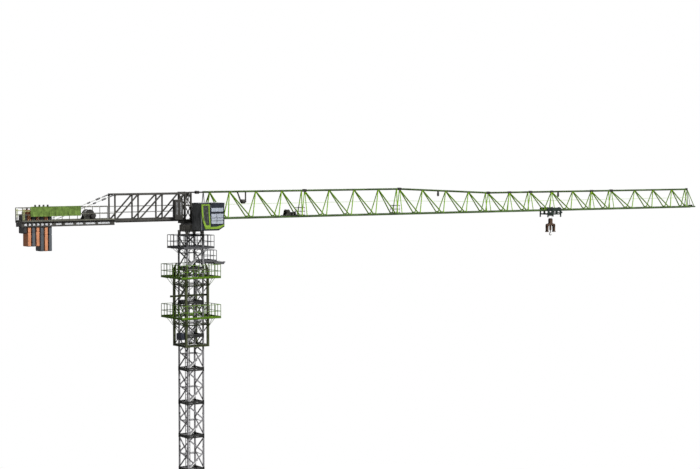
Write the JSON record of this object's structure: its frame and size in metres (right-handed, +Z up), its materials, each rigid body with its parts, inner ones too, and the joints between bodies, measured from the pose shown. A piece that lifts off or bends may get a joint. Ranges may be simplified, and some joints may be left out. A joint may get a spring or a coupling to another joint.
{
  "type": "tower crane, 1:2 scale model",
  "caption": "Flat-topped slewing tower crane with a lattice mast, climbing cage, cab, ballasted counter-jib, jib trolley and hook block.",
  "frame": {"origin": "centre of the base cross on the ground, on the mast's axis", "axes": "+Z up along the mast, +X out along the jib, -Y towards the side that carries the cab"},
  "size_m": [36.045, 3.2884, 16.05],
  "materials": {
    "mast_grey": "satin",
    "cage_dark": "satin",
    "green": "satin",
    "platform_grey": "satin",
    "gear_dark": "satin",
    "rail_grey": "satin",
    "cabinet_black": "satin",
    "cab_lime": "gloss",
    "cab_glass": "clear",
    "winch_dark": "satin",
    "slab_orange": "matt",
    "slab_grey": "matt",
    "jib_green": "satin",
    "trolley_dark": "satin",
    "hook_rust": "matt",
    "rope_steel": "satin"
  },
  "bodies": {
    "tower": {"base_cross": "mast_grey", "base_struts": "mast_grey", "mast_lower": "mast_grey", "mast_middle": "mast_grey", "mast_upper": "mast_grey", "mast_ladder": "mast_grey", "climbing_cage": "cage_dark", "cage_platform_lower": "green", "cage_platform_upper": "green", "climbing_beam": "cage_dark", "pump_unit": "cage_dark", "top_platform": "platform_grey", "feed_platform": "platform_grey", "slewing_support": "gear_dark", "slewing_ring": "gear_dark"},
    "hoist_drum_body": {"hoist_drum": "winch_dark"},
    "trolley_drum_body": {"trolley_drum": "winch_dark"},
    "cab_door_body": {"cab_door": "cab_lime"},
    "trolley": {"trolley_frame": "trolley_dark", "trolley_wheels": "trolley_dark", "rope_falls": "rope_steel"},
    "hook_block_body": {"hook_block": "hook_rust", "hook_sheaves": "hook_rust"},
    "hook_body": {"hook": "hook_rust"},
    "upperworks": {"cab_glass": "cab_glass", "cab_mount": "gear_dark", "cab_roof": "cabinet_black", "cab_shell": "cabinet_black", "cabinet": "cabinet_black", "counter_jib_deck": "gear_dark", "counter_jib_rails": "rail_grey", "counter_jib_stays": "gear_dark", "counter_jib_truss": "gear_dark", "counterweights_grey": "slab_grey", "counterweights_orange": "slab_orange", "hoist_motor": "winch_dark", "hoist_winch": "winch_dark", "jib_1": "jib_green", "jib_2": "jib_green", "jib_3": "jib_green", "jib_4": "jib_green", "jib_5": "jib_green", "jib_6": "jib_green", "jib_link": "gear_dark", "jib_tip": "jib_green", "rope_rollers": "winch_dark", "sign_panel": "rail_grey", "slewing_tower": "gear_dark", "trolley_winch": "winch_dark", "turntable": "gear_dark"}
  },
  "joints": [
    {"name": "slew", "type": "hinge", "parent": "tower", "child": "upperworks", "pos_m": [0, 0, 14.72], "axis": [0, 0, 1], "continuous": true},
    {"name": "hoist_drum_turn", "type": "hinge", "parent": "upperworks", "child": "hoist_drum_body", "pos_m": [-4.673, 0, 15.18], "axis": [0, 1, 0], "continuous": true},
    {"name": "trolley_drum_turn", "type": "hinge", "parent": "upperworks", "child": "trolley_drum_body", "pos_m": [4.69, 0, 15.105], "axis": [0, 1, 0], "continuous": true},
    {"name": "cab_door_swing", "type": "hinge", "parent": "upperworks", "child": "cab_door_body", "pos_m": [0.263, -1.2275, 15], "axis": [0, 0, 1], "range_deg": [0, 100]},
    {"name": "trolley_travel", "type": "slide", "parent": "upperworks", "child": "trolley", "axis": [1, 0, 0], "range_m": [-17.46, 8.1]},
    {"name": "hoist", "type": "slide", "parent": "trolley", "child": "hook_block_body", "axis": [0, 0, -1], "range_m": [0, 13.4], "deforming": ["rope_falls"]},
    {"name": "hook_swivel", "type": "hinge", "parent": "hook_block_body", "child": "hook_body", "pos_m": [19.3, 0, 13.9547], "axis": [0, 0, 1], "continuous": true}
  ]
}
